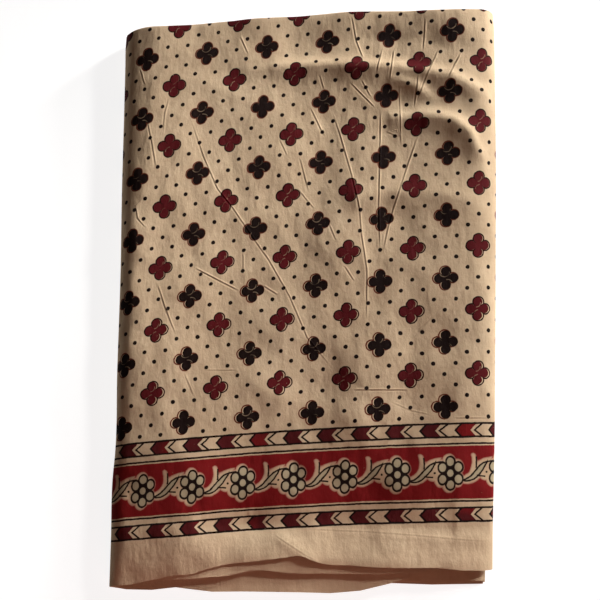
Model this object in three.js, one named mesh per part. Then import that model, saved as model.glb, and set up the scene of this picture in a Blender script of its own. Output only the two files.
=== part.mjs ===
// A length of printed kalamkari cotton, folded into a flat packet.
// The cloth is doubled across its width, and the doubled cloth is folded in half along its length
// and then in thirds, so six leaves of two plies each lie one on another.
// Millimetres. +X runs across the packet, +Y from the hems to the doubled edge, +Z up.
// The lowest leaf rests on z = 0, and the origin is under the middle of the packet.

import * as THREE from "three";

// The cloth as it is woven, and the thickness of its layers in the packet
const CLOTH_LENGTH = 2250;
const CLOTH_WIDTH = 1120;
const PLY_THICKNESS = 1.0;
const PLY_GAP = 0.6;
const LEAF_GAP = 0.7;
const LEAF_COUNT = 6;

// Sizes of a leaf, which is two plies of cloth with the doubled edge at +Y
const LEAF_WIDTH = CLOTH_LENGTH / LEAF_COUNT;
const LEAF_LENGTH = CLOTH_WIDTH / 2;
const LEAF_THICKNESS = 2 * PLY_THICKNESS + PLY_GAP;
const LEAF_PITCH = LEAF_THICKNESS + LEAF_GAP;
const STACK_HEIGHT = (LEAF_COUNT - 1) * LEAF_PITCH + LEAF_THICKNESS;

// The packet's two sides, as far as each lies outside a leaf's own half width.
// The packet was folded a little askew, so it is wider towards the doubled edge.
const SIDE_TABLE = [
  { y: -285, left: 4.1, right: -11.8 },
  { y: -235, left: 3.3, right: -10.1 },
  { y: -172, left: 2.9, right: -7.3 },
  { y: -150, left: 1.2, right: -6.5 },
  { y: -68, left: 0.9, right: -4.0 },
  { y: 42, left: -0.1, right: -0.6 },
  { y: 120, left: 0.5, right: 1.8 },
  { y: 200, left: 0.2, right: 2.8 },
  { y: 258, left: 0.1, right: 3.4 },
  { y: 280, left: 0.1, right: 3.2 },
  { y: 289, left: -0.6, right: 1.2 },
];

// The doubled edge, as far as it lies beyond a leaf's own half length
const DOUBLED_EDGE_TABLE = [
  { x: -190, out: -15.5 },
  { x: -182, out: -14.6 },
  { x: -165, out: -11.3 },
  { x: -145, out: -9.7 },
  { x: -73, out: -3.9 },
  { x: -9, out: 1.5 },
  { x: 42, out: 4.4 },
  { x: 113, out: 7.4 },
  { x: 168, out: 10.0 },
  { x: 180, out: 10.0 },
  { x: 187, out: 8.2 },
  { x: 191, out: 3.0 },
];

// The hems, as far as each lies beyond a leaf's own half length at the stations across the packet
const HEM_STATIONS = [-188, -172, -152, -112, -80, -50, -22, -8, 2, 12, 40, 72, 95, 118, 145, 172];
const HEM_LINES = {
  upper: [
    1.7, 1.7, -2.2, -8.8, -17.3, -20.6, -24.2, -25.6, -21.5, -18.2, -16.5, -14.6, -14.3, -14.1,
    -11.8, -10.2,
  ],
  second: [1, 1, -2.2, -4, -6.5, -11.8, -9.4, -8.5, -8.4, -8.3, -8.2, -8.6, -9.5, -11, -11, -10.5],
  middle: [0.4, 0.6, 2, 7.5, 8.6, 9, 9.4, 9.7, 9.9, 10.4, 9.4, 2.8, -4, -10.6, -11.2, -11],
  lower: [8.3, 8.8, 9.2, 6.2, 5, 4, 3.4, 3.2, 3, 2.8, 2.6, 2.4, 2, 1.6, 0.8, 0.3],
};

// The leaves, counted down from the top one. Each ply of a leaf ends short of one hem line,
// and a leaf's doubled edge lies tucked behind the top leaf's.
const LEAF_TABLE = {
  1: { outer: "upper", outerShort: 0, inner: "second", innerShort: 0, tuck: 0, spans: 16 },
  2: { outer: "second", outerShort: 2.0, inner: "second", innerShort: 1.0, tuck: 1.5, spans: 9 },
  3: { outer: "middle", outerShort: 0, inner: "middle", innerShort: 1.6, tuck: 3.0, spans: 9 },
  4: { outer: "middle", outerShort: 3.0, inner: "middle", innerShort: 1.2, tuck: 2.0, spans: 9 },
  5: { outer: "lower", outerShort: 3.5, inner: "lower", innerShort: 2.0, tuck: 1.0, spans: 9 },
  6: { outer: "lower", outerShort: 0, inner: "lower", innerShort: 1.0, tuck: 0.5, spans: 9 },
};

// The folds between leaves, in their order along the cloth. The reach is the length over which
// a fold rounds over, and the inset is how far its nose lies inside the packet's side.
const FOLD_TABLE = [
  { from: 6, to: 1, side: "left", reach: 14, inset: 0, spans: 9 },
  { from: 1, to: 4, side: "right", reach: 13, inset: 0, spans: 8 },
  { from: 4, to: 3, side: "left", reach: 1.65, inset: 12, spans: 5 },
  { from: 3, to: 2, side: "right", reach: 1.65, inset: 12, spans: 5 },
  { from: 2, to: 5, side: "left", reach: 8, inset: 5, spans: 7 },
];

// The two cut ends of the doubled cloth stop this far inside the packet's right side
const CUT_END_INSET = { 5: 7, 6: 8.5 };

// The bulky left fold stands up in a crest, whose place and share of the full height change up
// the packet, and which has come down to nought at the packet's side.
const CREST_HEIGHT = 6.4;
const CREST_SIDE = -190;
const CREST_TABLE = [
  { y: -290, x: -126, share: 0.8 },
  { y: -180, x: -130, share: 0.75 },
  { y: -110, x: -150, share: 0.75 },
  { y: 50, x: -168, share: 0.9 },
  { y: 150, x: -158, share: 1.05 },
  { y: 290, x: -148, share: 1.0 },
];

// The top falls from a shoulder to the right side
const SHOULDER_FALL = 7.5;
const SHOULDER_SIDE = 192;
const SHOULDER_TABLE = [
  { y: -290, x: 112 },
  { y: -200, x: 120 },
  { y: -150, x: 132 },
  { y: -100, x: 152 },
  { y: 100, x: 158 },
  { y: 290, x: 156 },
];

// The middle of the packet has sunk, and its loose hems lie lower than the doubled edge
const CROWN_ACROSS = [
  { x: -190, z: -0.6 },
  { x: -120, z: -0.4 },
  { x: -60, z: -0.8 },
  { x: 0, z: -1.7 },
  { x: 50, z: -1.2 },
  { x: 100, z: -0.7 },
  { x: 145, z: -0.4 },
  { x: 192, z: -0.6 },
];
const CROWN_ALONG = [
  { y: -290, z: -2.6 },
  { y: -200, z: -1.4 },
  { y: -120, z: -0.4 },
  { y: 0, z: 0.2 },
  { y: 230, z: 0.9 },
  { y: 275, z: 1.3 },
  { y: 290, z: 0.4 },
];

// Soft humps and dips of the top
const HUMP_TABLE = [
  { x: 150, y: 285, across: 85, along: 85, height: 2.0 },
  { x: -140, y: -292, across: 62, along: 32, height: -3.4 },
  { x: -60, y: 110, across: 70, along: 110, height: 0.9 },
  { x: 38, y: 20, across: 30, along: 120, height: 1.5 },
];

// The grid along a ply, from its hem to the doubled edge, and round that edge
const PLY_SPANS = 11;
const DOUBLING_SPANS = 4;

const COTTON = new THREE.MeshStandardMaterial({ color: 0xd9c3a2, roughness: 0.92, metalness: 0 });

// Value of one column of a table at a place between its rows
function tableValue(table, placeColumn, valueColumn, place) {
  const last = table.length - 1;
  if (place <= table[0][placeColumn]) return table[0][valueColumn];
  if (place >= table[last][placeColumn]) return table[last][valueColumn];
  const next = table.findIndex((row) => row[placeColumn] > place);
  const before = table[next - 1];
  const after = table[next];
  const share = (place - before[placeColumn]) / (after[placeColumn] - before[placeColumn]);
  return THREE.MathUtils.lerp(before[valueColumn], after[valueColumn], share);
}

// Y of a hem line at a place across the packet
function hemY(lineName, x) {
  const rows = HEM_STATIONS.map((station, i) => ({ station, out: HEM_LINES[lineName][i] }));
  return -LEAF_LENGTH / 2 - tableValue(rows, "station", "out", x);
}

// X of the packet's left or right side at a height up the packet
function sideX(side, y) {
  const half = LEAF_WIDTH / 2 + tableValue(SIDE_TABLE, "y", side, y);
  return side === "left" ? -half : half;
}

// Middle height of a leaf
function levelZ(level) {
  return LEAF_THICKNESS / 2 + (LEAF_COUNT - level) * LEAF_PITCH;
}

// Centre of a fold's rounding, and the way in from its side
function foldCentre(fold, sideway) {
  const inward = fold.side === "left" ? 1 : -1;
  const x = sideway + inward * (fold.inset + LEAF_THICKNESS / 2 + fold.reach);
  return { x, z: (levelZ(fold.from) + levelZ(fold.to)) / 2, inward };
}

// Stations along the folded section: leaf, fold, leaf and so on. Each station holds functions of
// the row's side lines, since the packet's width changes up its length.
function sectionStations() {
  const stations = [];
  const order = [FOLD_TABLE[0].from, ...FOLD_TABLE.map((fold) => fold.to)];
  order.forEach((level, i) => {
    const before = FOLD_TABLE[i - 1];
    const after = FOLD_TABLE[i];
    const spans = LEAF_TABLE[level].spans;
    const end = (fold, sides) =>
      fold ? foldCentre(fold, sides[fold.side]).x : sides.right - CUT_END_INSET[level];
    const heading = (after ?? { side: "right" }).side === "right" ? 1 : -1;
    for (let k = 0; k <= spans; k++) {
      stations.push({
        levels: [level, level, 0],
        at: (sides) => ({
          x: THREE.MathUtils.lerp(end(before, sides), end(after, sides), k / spans),
          z: levelZ(level),
          normal: new THREE.Vector3(0, 0, heading),
        }),
      });
    }
    if (!after) return;
    const halfHeight = Math.abs(levelZ(after.from) - levelZ(after.to)) / 2;
    const upward = Math.sign(levelZ(after.to) - levelZ(after.from));
    for (let k = 1; k < after.spans; k++) {
      const turn = (Math.PI * k) / after.spans;
      stations.push({
        levels: [after.from, after.to, k / after.spans],
        at: (sides) => {
          const centre = foldCentre(after, sides[after.side]);
          const normal = new THREE.Vector3(
            -upward * halfHeight * Math.sin(turn),
            0,
            -centre.inward * after.reach * Math.cos(turn),
          );
          return {
            x: centre.x - centre.inward * after.reach * Math.sin(turn),
            z: centre.z - upward * halfHeight * Math.cos(turn),
            normal: normal.normalize(),
          };
        },
      });
    }
  });
  return stations;
}

// Stations along a ply: up the outer ply from its hem, round the doubled edge, down the inner ply
function plyStations() {
  const up = Array.from({ length: PLY_SPANS + 1 }, (_, k) => ({ row: k / PLY_SPANS, turn: 0 }));
  const round = Array.from({ length: DOUBLING_SPANS - 1 }, (_, k) => ({
    row: 1,
    turn: (Math.PI * (k + 1)) / DOUBLING_SPANS,
  }));
  const down = up.map(({ row }) => ({ row, turn: Math.PI })).reverse();
  return [...up, ...round, ...down];
}

// Height of the crest over the left fold: round to the side, and a long slope to the middle
function crest(x, y) {
  const place = tableValue(CREST_TABLE, "y", "x", y);
  const outside = THREE.MathUtils.clamp((place - x) / (place - CREST_SIDE), 0, 1);
  const inside = (Math.hypot(Math.max(x - place, 0), 12) - 12) / 52;
  const share = tableValue(CREST_TABLE, "y", "share", y);
  return CREST_HEIGHT * share * (1 - outside ** 2) * Math.exp(-inside);
}

// How far the top falls from its right shoulder
function shoulderFall(x, y) {
  const shoulder = tableValue(SHOULDER_TABLE, "y", "x", y);
  const share = THREE.MathUtils.clamp((x - shoulder) / (SHOULDER_SIDE - shoulder), 0, 1);
  return SHOULDER_FALL * share ** 1.7;
}

// Height that the relief adds to the top of the packet
function relief(x, y) {
  const crown = tableValue(CROWN_ACROSS, "x", "z", x) + tableValue(CROWN_ALONG, "y", "z", y);
  const humps = HUMP_TABLE.reduce((sum, row) => {
    const across = (x - row.x) / row.across;
    const along = (y - row.y) / row.along;
    return sum + row.height * Math.exp(-across * across - along * along);
  }, 0);
  return crest(x, y) - shoulderFall(x, y) + crown + humps;
}

// A point of the cloth. The skin is its distance from the leaf's middle surface.
function clothPoint(section, ply, skin) {
  const nominalY = THREE.MathUtils.lerp(-LEAF_LENGTH / 2, LEAF_LENGTH / 2 + 9, ply.row);
  const sides = { left: sideX("left", nominalY), right: sideX("right", nominalY) };
  const { x, z, normal } = section.at(sides);
  const [from, to, share] = section.levels;
  const isOuter = ply.turn < Math.PI / 2;
  const lineOf = (level) => {
    const leaf = LEAF_TABLE[level];
    return isOuter
      ? hemY(leaf.outer, x) + leaf.outerShort
      : hemY(leaf.inner, x) + leaf.innerShort;
  };
  const hem = THREE.MathUtils.lerp(lineOf(from), lineOf(to), share);
  const tuck = THREE.MathUtils.lerp(LEAF_TABLE[from].tuck, LEAF_TABLE[to].tuck, share);
  const doubled =
    LEAF_LENGTH / 2 + tableValue(DOUBLED_EDGE_TABLE, "x", "out", x) - tuck - LEAF_THICKNESS / 2;
  const point = new THREE.Vector3(x, THREE.MathUtils.lerp(hem, doubled, ply.row), z);
  point.addScaledVector(normal, skin * Math.cos(ply.turn));
  point.y += skin * Math.sin(ply.turn);
  point.z *= 1 + relief(point.x, point.y) / STACK_HEIGHT;
  return point;
}

// The whole cloth as one closed skin: an outside, an inside, and the rim that joins them
function clothGeometry() {
  const sections = sectionStations();
  const plies = plyStations();
  const skins = [LEAF_THICKNESS / 2, PLY_GAP / 2];
  const positions = [];
  for (const skin of skins) {
    for (const section of sections) {
      for (const ply of plies) positions.push(...clothPoint(section, ply, skin).toArray());
    }
  }
  const index = (side, i, j) => (side * sections.length + i) * plies.length + j;
  const faces = [];
  const quad = (a, b, c, d) => faces.push(a, b, c, a, c, d);
  const lastSection = sections.length - 1;
  const lastPly = plies.length - 1;
  for (let i = 0; i < lastSection; i++) {
    for (let j = 0; j < lastPly; j++) {
      quad(index(0, i, j), index(0, i + 1, j), index(0, i + 1, j + 1), index(0, i, j + 1));
      quad(index(1, i, j), index(1, i, j + 1), index(1, i + 1, j + 1), index(1, i + 1, j));
    }
    quad(index(0, i + 1, 0), index(0, i, 0), index(1, i, 0), index(1, i + 1, 0));
    quad(index(0, i, lastPly), index(0, i + 1, lastPly), index(1, i + 1, lastPly), index(1, i, lastPly));
  }
  for (let j = 0; j < lastPly; j++) {
    quad(index(0, 0, j), index(0, 0, j + 1), index(1, 0, j + 1), index(1, 0, j));
    quad(
      index(0, lastSection, j + 1),
      index(0, lastSection, j),
      index(1, lastSection, j),
      index(1, lastSection, j + 1),
    );
  }
  const geometry = new THREE.BufferGeometry();
  geometry.setAttribute("position", new THREE.Float32BufferAttribute(positions, 3));
  geometry.setIndex(faces);
  geometry.computeBoundingBox();
  const middle = geometry.boundingBox.getCenter(new THREE.Vector3());
  geometry.translate(-middle.x, -middle.y, 0);
  geometry.computeVertexNormals();
  return geometry;
}

const packet = new THREE.Group();
const cloth = new THREE.Mesh(clothGeometry(), COTTON);
cloth.name = "cloth";
packet.add(cloth);

export default packet;
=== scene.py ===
"""A length of printed kalamkari cotton, folded into a flat packet of twelve plies.

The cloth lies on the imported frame's own folds. Lengths in the tables are millimetres, and +X runs
across the packet, +Y from the hems to the doubled edge, and +Z up.
"""

import math

import bpy
import numpy as np
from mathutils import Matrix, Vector


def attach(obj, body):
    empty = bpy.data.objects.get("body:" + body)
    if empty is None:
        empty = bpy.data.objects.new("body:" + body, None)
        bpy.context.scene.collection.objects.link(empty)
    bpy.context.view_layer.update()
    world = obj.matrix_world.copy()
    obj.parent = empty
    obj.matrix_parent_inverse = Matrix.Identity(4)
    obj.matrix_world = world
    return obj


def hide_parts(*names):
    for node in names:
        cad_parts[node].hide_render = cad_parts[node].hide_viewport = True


MM = 0.001


def table(columns, *rows):
    """Rows of values under the names of their columns."""
    return [dict(zip(columns.split(), row)) for row in rows]


# The cloth as it is woven, and how its layers lie in the packet
CLOTH_LENGTH = 2250.0
CLOTH_WIDTH = 1120.0
PLY_THICKNESS = 0.6
PLY_SPACING = 1.6
LEAF_COUNT = 6
LEAF_THICKNESS = 2.6
LEAF_PITCH = 3.3
LEAF_WIDTH = CLOTH_LENGTH / LEAF_COUNT
LEAF_LENGTH = CLOTH_WIDTH / 2
STACK_HEIGHT = (LEAF_COUNT - 1) * LEAF_PITCH + LEAF_THICKNESS

# The packet's two sides, as far as each lies outside a leaf's own half width
SIDE_TABLE = table(
    "y left right",
    (-285, 4.1, -11.8),
    (-235, 3.3, -10.1),
    (-172, 2.9, -7.3),
    (-150, 1.2, -6.5),
    (-68, 0.9, -4.0),
    (42, -0.1, -0.6),
    (120, 0.5, 1.8),
    (200, 0.2, 2.8),
    (258, 0.1, 3.4),
    (280, 0.1, 3.2),
    (289, -0.6, 2.6),
)

# How far out the doubled edge is taken to lie where a row's place along the sides is read
MEAN_DOUBLED_OUT = 9.0

# The doubled edge, as far as it lies beyond a leaf's own half length
DOUBLED_EDGE_TABLE = table(
    "x out",
    (-190, -17.5),
    (-182, -16.6),
    (-165, -13.5),
    (-145, -12.0),
    (-73, -4.3),
    (-9, 0.9),
    (42, 5.3),
    (113, 5.6),
    (168, 8.0),
    (180, 9.2),
    (187, 9.4),
    (191, 6.5),
)

# The hems, as far as each of their lines lies beyond a leaf's own half length
HEM_TABLE = table(
    "x upper second middle lower",
    (-188, 1.7, 1, 0.4, 8.3),
    (-172, 1.7, 1, 0.6, 8.8),
    (-152, -2.2, -2.2, 2, 9.2),
    (-128, -7.6, -3.5, 4, 6.6),
    (-112, -8.8, -4, 7.5, 6.2),
    (-98, -13, -5.2, 9, 5.6),
    (-80, -17.3, -6.5, 8.6, 5),
    (-50, -20.6, -11.8, 9, 4),
    (-22, -24.2, -9.4, 9.4, 3.4),
    (-8, -25.6, -8.5, 9.7, 3.2),
    (2, -21.5, -8.4, 9.9, 3.0),
    (12, -18.2, -8.3, 10.4, 2.8),
    (40, -16.5, -8.2, 9.4, 2.6),
    (72, -14.6, -8.6, 2.8, 2.6),
    (95, -14.3, -9.5, -4, 3.4),
    (118, -14.1, -11, -10.6, 4.2),
    (145, -11.6, -10.8, -11.2, 3.8),
    (172, -9.6, -10, -11, 3.6),
    (188, -5.4, -7.4, -10.6, 4.6),
)

# The leaves, counted down from the top one. Each ply of a leaf ends short of one hem line,
# and a leaf's doubled edge lies tucked behind the top leaf's.
TOP_LEVEL = 1
LEAF_ROWS = table(
    "level outer outer_short inner inner_short tuck spans",
    (1, "upper", 0, "second", 0, 0, 150),
    (2, "second", 2.0, "second", 1.0, 1.5, 12),
    (3, "middle", 0, "middle", 1.6, 3.0, 12),
    (4, "middle", 3.0, "middle", 1.2, 2.0, 12),
    (5, "lower", 3.5, "lower", 2.0, 1.0, 12),
    (6, "lower", 0, "lower", 1.0, 0.5, 14),
)
LEAF_TABLE = {row["level"]: row for row in LEAF_ROWS}

# The folds between leaves, in their order along the cloth. The reach is the length over which
# a fold rounds over, and the inset is how far its nose lies inside the packet's side.
FOLD_TABLE = table(
    "from to side reach inset spans",
    (6, 1, "left", 14, 0, 16),
    (1, 4, "right", 13, 0, 14),
    (4, 3, "left", 1.65, 12, 8),
    (3, 2, "right", 1.65, 12, 8),
    (2, 5, "left", 8, 5, 10),
)

# How far inside the packet's right side the two cut ends lie, by leaf
CUT_END_INSET = {5: 7, 6: 8.5}

# Spans along a ply: the outer one, a hidden inner one above and below its hem share, and round the
# doubled edge between them
PLY_SPANS = 146
HIDDEN_PLY_SPANS = 14
HIDDEN_HEM_SPANS = 12
HIDDEN_HEM_SHARE = 0.25
DOUBLING_SPANS = 6
SHARP_ANGLE = 60.0

# Height of the packet's top. The bulky left fold stands up in a crest with a round top and a long
# run to the right, the middle has sunk, the right side falls away from a shoulder, and the loose
# hems lie lower than the doubled edge.
CREST_HEIGHT = 6.4
CREST_SIDE = -190.0
CREST_ROUND = 12.0
CREST_RUN = 52.0
CREST_TABLE = table(
    "y x share",
    (-290, -126, 0.80),
    (-180, -130, 0.75),
    (-110, -150, 0.75),
    (50, -168, 0.90),
    (150, -158, 1.15),
    (290, -148, 1.10),
)
SHOULDER_FALL = 8.2
SHOULDER_SIDE = 192.0
SHOULDER_POWER = 1.7
SHOULDER_TABLE = table(
    "y x",
    (-290, 92),
    (-200, 100),
    (-150, 116),
    (-100, 145),
    (100, 158),
    (290, 156),
)
CROWN_ACROSS = table(
    "x z",
    (-190, -0.6),
    (-120, -0.4),
    (-60, -0.8),
    (0, -1.7),
    (50, -1.2),
    (100, -0.7),
    (145, -0.4),
    (192, -0.6),
)
CROWN_ALONG = table(
    "y z",
    (-290, -2.6),
    (-200, -1.4),
    (-120, -0.4),
    (0, 0.2),
    (230, 0.9),
    (275, 1.3),
    (290, 0.4),
)

# Soft humps and dips of the top, which fade down through the leaves
HUMP_TABLE = table(
    "x y across along height",
    (150, 285, 85, 85, 3.2),
    (-140, -292, 62, 32, -5.0),
    (-60, 110, 70, 110, 0.9),
)

# Soft wrinkles, each along its line from left to right. The rise is the width of its flank towards
# the doubled edge, and the fall the width of the flank towards the hems. A trough presses all the
# layers down, and a ridge lifts the top ply and only a little of what lies below.
WRINKLE_TABLE = table(
    "height rise fall line",
    (3.0, 8, 34, [(-75, 282), (-10, 284), (80, 287), (186, 289)]),
    (5.8, 6, 14, [(-40, 226), (0, 229), (42, 229), (92, 226), (143, 218), (178, 200)]),
    (-2.4, 24, 12, [(-30, 254), (60, 256), (120, 253), (176, 238)]),
    (2.8, 3.5, 8, [(80, 215), (106, 208), (124, 196)]),
    (5.2, 6, 15, [(80, 174), (126, 176), (145, 172), (162, 158), (174, 132)]),
    (2.4, 10, 12, [(40, 90), (75, 97), (112, 98), (160, 90)]),
    (1.2, 9, 14, [(-120, 212), (-75, 200), (-40, 178)]),
    (0.9, 16, 12, [(-30, 150), (-8, 100), (14, 40)]),
    (1.2, 12, 16, [(-60, -90), (0, -118), (60, -128)]),
    (2.0, 34, 26, [(32, 130), (27, 20), (27, -60), (62, -150)]),
    (-5.0, 30, 12, [(-110, -226), (-20, -228), (60, -231), (140, -234)]),
    (2.6, 14, 10, [(-90, -258), (-20, -256), (40, -262), (110, -264), (165, -262)]),
)

# Shape of a ridge across its line, and how high it is at its ends
RIDGE_POWER = 1.5
RIDGE_END = 0.35

# How much of a ridge the layers take up at a depth below the top ply
RIDGE_SHARE = table(
    "depth share",
    (0.35, 1.0),
    (1.25, 0.3),
    (1.95, 0.3),
    (2.9, 0.1),
    (3.6, 0.1),
    (6.0, 0.0),
)

# Small uneven waves of cloth that was handled and pressed. A wave's height is its length times the
# steepness, some waves run across the others, and all of them fade within a depth.
RIPPLE_SEED = 11
RIPPLE_COUNT = 26
RIPPLE_LENGTHS = (24, 110)
RIPPLE_LEAN = 0.7
RIPPLE_CROSS_SHARE = 0.25
RIPPLE_STEEPNESS = 0.0022
RIPPLE_DEPTH = 3.0

# Creases pressed into the top leaf. The height is the soft ridge or trough that carries the
# crease, and the bite is how sharply its line is pressed. Near neighbours lie in different groups.
CREASE_GROUPS = ["a", "b"]
CREASE_WIDTH = 3.2

# How far from its line a pressed crease still shades the cloth, over how much of that it fades, the
# greatest distance that is written, and the share of its length in which each end runs out
CREASE_REACH = 7.0
CREASE_FADE = 2.2
CREASE_SIDE_LIMIT = 9.0
CREASE_END_SHARE = 0.125


def pressed(line, height, bite, group="a", width=CREASE_WIDTH):
    """A row of the table of creases."""
    return {"line": line, "height": height, "bite": bite, "group": group, "width": width}


CREASE_TABLE = [
    pressed(
        [
            (-119, 174), (-105, 133), (-91, 101), (-76, 82), (-53, 48), (-40, 30), (-19, -7),
            (-2, -47), (10, -62), (25, -80),
        ],
        height=0.2, bite=0.6,
    ),
    pressed(
        [(23, 183), (32, 154), (43, 113), (50, 81), (52, 54), (57, 19), (56, -31)],
        height=0.24, bite=0.8,
    ),
    pressed([(44, 279), (48, 255), (55, 235)], height=0.18, bite=1.0),
    pressed([(42, 210), (66, 185)], height=0.18, bite=0.8),
    pressed([(74, 245), (68, 220)], height=0.18, bite=0.9),
    pressed([(86, 245), (81, 213)], height=0.18, bite=0.9, group="b"),
    pressed([(72, 183), (71, 145), (69, 82), (70, 40)], height=0.15, bite=0.9, group="b"),
    pressed([(118, 277), (116, 245)], height=0.18, bite=0.9),
    pressed([(110, 218), (106, 185)], height=0.18, bite=0.8),
    pressed([(132, 247), (119, 218), (109, 192)], height=0.24, bite=0.8, group="b"),
    pressed([(154, 242), (140, 215)], height=0.3, bite=1.0),
    pressed([(109, 155), (100, 130), (84, 82), (78, 61), (73, 37)], height=0.18, bite=0.9),
    pressed([(2, 184), (15, 156)], height=0.15, bite=0.7),
    pressed([(-9, 132), (-1, 101)], height=0.12, bite=0.6),
    pressed([(-11, 101), (5, 81)], height=0.12, bite=0.6, group="b"),
    pressed([(79, 159), (89, 155)], height=0.09, bite=0.6),
    pressed([(-112, 21), (-91, 10), (-69, -1)], height=0.15, bite=0.8),
    pressed([(-45, 4), (-31, -5)], height=0.15, bite=0.8, group="b"),
    pressed([(35, 23), (44, 9)], height=0.15, bite=0.8, group="b"),
    pressed([(20, 65), (26, 50)], height=0.15, bite=0.8),
    pressed([(132, -17), (120, -28), (103, -45)], height=0.15, bite=0.6),
    pressed([(41, -98), (97, -98)], height=0.21, bite=0.7),
    pressed([(80, -110), (99, -118), (117, -122)], height=-0.18, bite=0.3, group="b"),
    pressed([(139, -125), (173, -125)], height=-0.18, bite=0.5),
    pressed([(-140, 193), (-144, 176), (-145, 158)], height=0.09, bite=0.6),
    pressed([(-161, 168), (-156, 146), (-152, 123)], height=0.15, bite=0.7, group="b"),
    pressed([(-169, 222), (-165, 207)], height=0.12, bite=0.6),
    pressed([(-69, 257), (-62, 241)], height=0.18, bite=0.8),
    pressed([(-163, 92), (-173, 81)], height=0.12, bite=0.6),
    pressed([(-171, 82), (-169, 70), (-161, 61)], height=0.12, bite=0.6, group="b"),
    pressed([(-148, 4), (-141, -17), (-130, -44)], height=0.12, bite=0.6),
    pressed([(-65, 35), (-65, 19)], height=0.09, bite=0.6),
    pressed([(-101, -79), (-70, -79)], height=0.09, bite=0.4),
    pressed([(-121, -82), (-112, -103)], height=0.09, bite=0.4),
    pressed([(91, 206), (92, 146)], height=0.06, bite=0.6),
    pressed([(11, 218), (15, 204)], height=0.06, bite=0.9, group="b"),
    pressed([(53, 213), (62, 196)], height=0.06, bite=0.8, group="b"),
    pressed([(-29, 151), (-22, 135)], height=0.06, bite=0.5),
    pressed([(-34, -235), (-2, -255), (8, -260)], height=1.6, bite=0.25, width=5),
    pressed(
        [(-10, -230), (29, -232), (59, -233), (101, -236), (142, -240), (173, -242)],
        height=1.5, bite=0.2, width=5,
    ),
]

# How the print lies on the top leaf. The grain is a little out of square there, and its rows and
# columns fan out towards the hem and the right side. Each row gives a print coordinate in the
# middle, and what it gains with x and y, their squares and their product, as shares of the halves.
PRINT_HALF_WIDTH = 190.0
PRINT_HALF_LENGTH = 280.0
PRINT_LAY = {
    "along": {"middle": 180.2, "x": 188.8, "y": -10.9, "xx": -5.7, "xy": 4.1, "yy": -4.2},
    "over": {"middle": 270.5, "x": -14.2, "y": 280.7, "xx": 4.4, "xy": -6.0, "yy": -1.3},
}

# The print's repeats, in millimetres of cloth
MOTIF_PITCH = 62.0
FIRST_MOTIF = (0.0, 150.0)
FIELD_END = 1076.0
BORDER_MIDDLE = 87.4
BORDER_HALF = 47.2

# The field's dots, and its four-petalled flowers with a pale parting arc above and below the middle
DOT_RADIUS = 2.05
DOTS_PER_SIDE = 3.0
PETAL_REACH = 6.6
PETAL_RADIUS = 5.1
HEART_HALF = 3.6
RING_HALF = 0.7
FILL_RADIUS = 4.75
PARTING_CENTRE = 6.2
PARTING_RADIUS = 4.6
PARTING_HALF = 0.34
PARTING_END = 5.4
PARTING_OVERLAP = 0.5
PARTING_LEAN = 0.25

# How far a flower's fill slips from its ring, which is less up the cloth, and how much it rises
SLIP_MOST = 1.2
SLIP_LEAST = 0.35
SLIP_START = 200.0
SLIP_RATE = 0.005
SLIP_RISE = 0.2

# The border's strips of chevrons, its red band and its black rules, from the border's middle
STRIP_OFFSET = 39.7
STRIP_HALF = 6.3
CHEVRON_PITCH = 32.0
CHEVRON_START = 17.6
CHEVRON_TIP_SLOPE = 1.2
CHEVRON_NOTCH_SLOPE = 0.85
ARROW_MIDDLE = 21.4
ARROW_HALF = 6.9
NOTCH_LINE_MIDDLE = 14.6
NOTCH_LINE_HALF = 1.2
TIP_LINE_HALF = 1.3
BAND_HALF = 25.0
RULE_TABLE = table(
    "offset half",
    (46.2, 1.0),
    (33.5, 0.95),
    (27.1, 0.9),
)

# The vine: a flower of seven cells, and the leaf that reaches it from the flower before. Places are
# from the middle of the flower.
VINE_PITCH = 48.2
VINE_START = 26.1
VINE_REACH = 36.5
VINE_DROP = 0.6
CELL_TABLE = table(
    "x y half_wide half_high",
    (0.0, 0.0, 3.7, 4.4),
    (0.0, 10.7, 4.1, 4.9),
    (7.2, 5.5, 4.0, 5.0),
)
CELL_INK = 0.85
FLOWER_HEART = 8.2
LEAF_TIP = -13.0
SWING = {"x": -25.2, "y": 1.8, "height": 9.4, "run": 8.0}
BOW = {"x": -33.0, "y": -7.7, "bend": 0.047}
STROKE_TABLE = {
    "upper": {"middle": -21.5, "half": 15.1, "ink": 0.85},
    "lower": {"middle": -24.8, "half": 11.8, "ink": 0.8},
    "branch": {"middle": -19.7, "half": 4.2, "ink": 0.75},
    "tendril": {"middle": 9.8, "half": 5.4, "ink": 0.75},
}
BRANCH = {"y": -5.6, "fall": 0.12}
TENDRIL = {"x": -24.0, "lean": 0.02, "lean_from": 10.0}
VINE_DOT = {"x": -14.3, "y": 0.5, "radius": 1.05}

# The pale halo that the red band leaves round the vine
HALO_HORN = {"x": -26.0, "y": 8.6, "half": 7.6, "radius": 2.4}
HALO_CORNER = {"x": -15.5, "y": -0.8, "radius": 6.9}
HALO_ABOVE_LEAF = 4.2
HALO_BELOW_LEAF = 2.9
HALO_LEAF_END = -8.0
HALO_BLEND = 4.0
HALO_SHIFT = 1.3
HALO_WIDTH = 2.5
HALO_RIM = 0.9


def column(rows, name):
    """The values of one column of a table."""
    return [row[name] for row in rows]


def smooth_value(rows, place, value, at):
    """A smooth curve through a table's values at their places, read at other places."""
    places = np.array(column(rows, place), float)
    values = np.array(column(rows, value), float)
    slopes = np.gradient(values, places)
    k = np.clip(np.searchsorted(places, at) - 1, 0, len(places) - 2)
    step = places[k + 1] - places[k]
    t = np.clip((at - places[k]) / step, 0, 1)
    return (
        (1 + 2 * t) * (1 - t) ** 2 * values[k]
        + t * (1 - t) ** 2 * step * slopes[k]
        + t * t * (3 - 2 * t) * values[k + 1]
        + t * t * (t - 1) * step * slopes[k + 1]
    )


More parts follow.
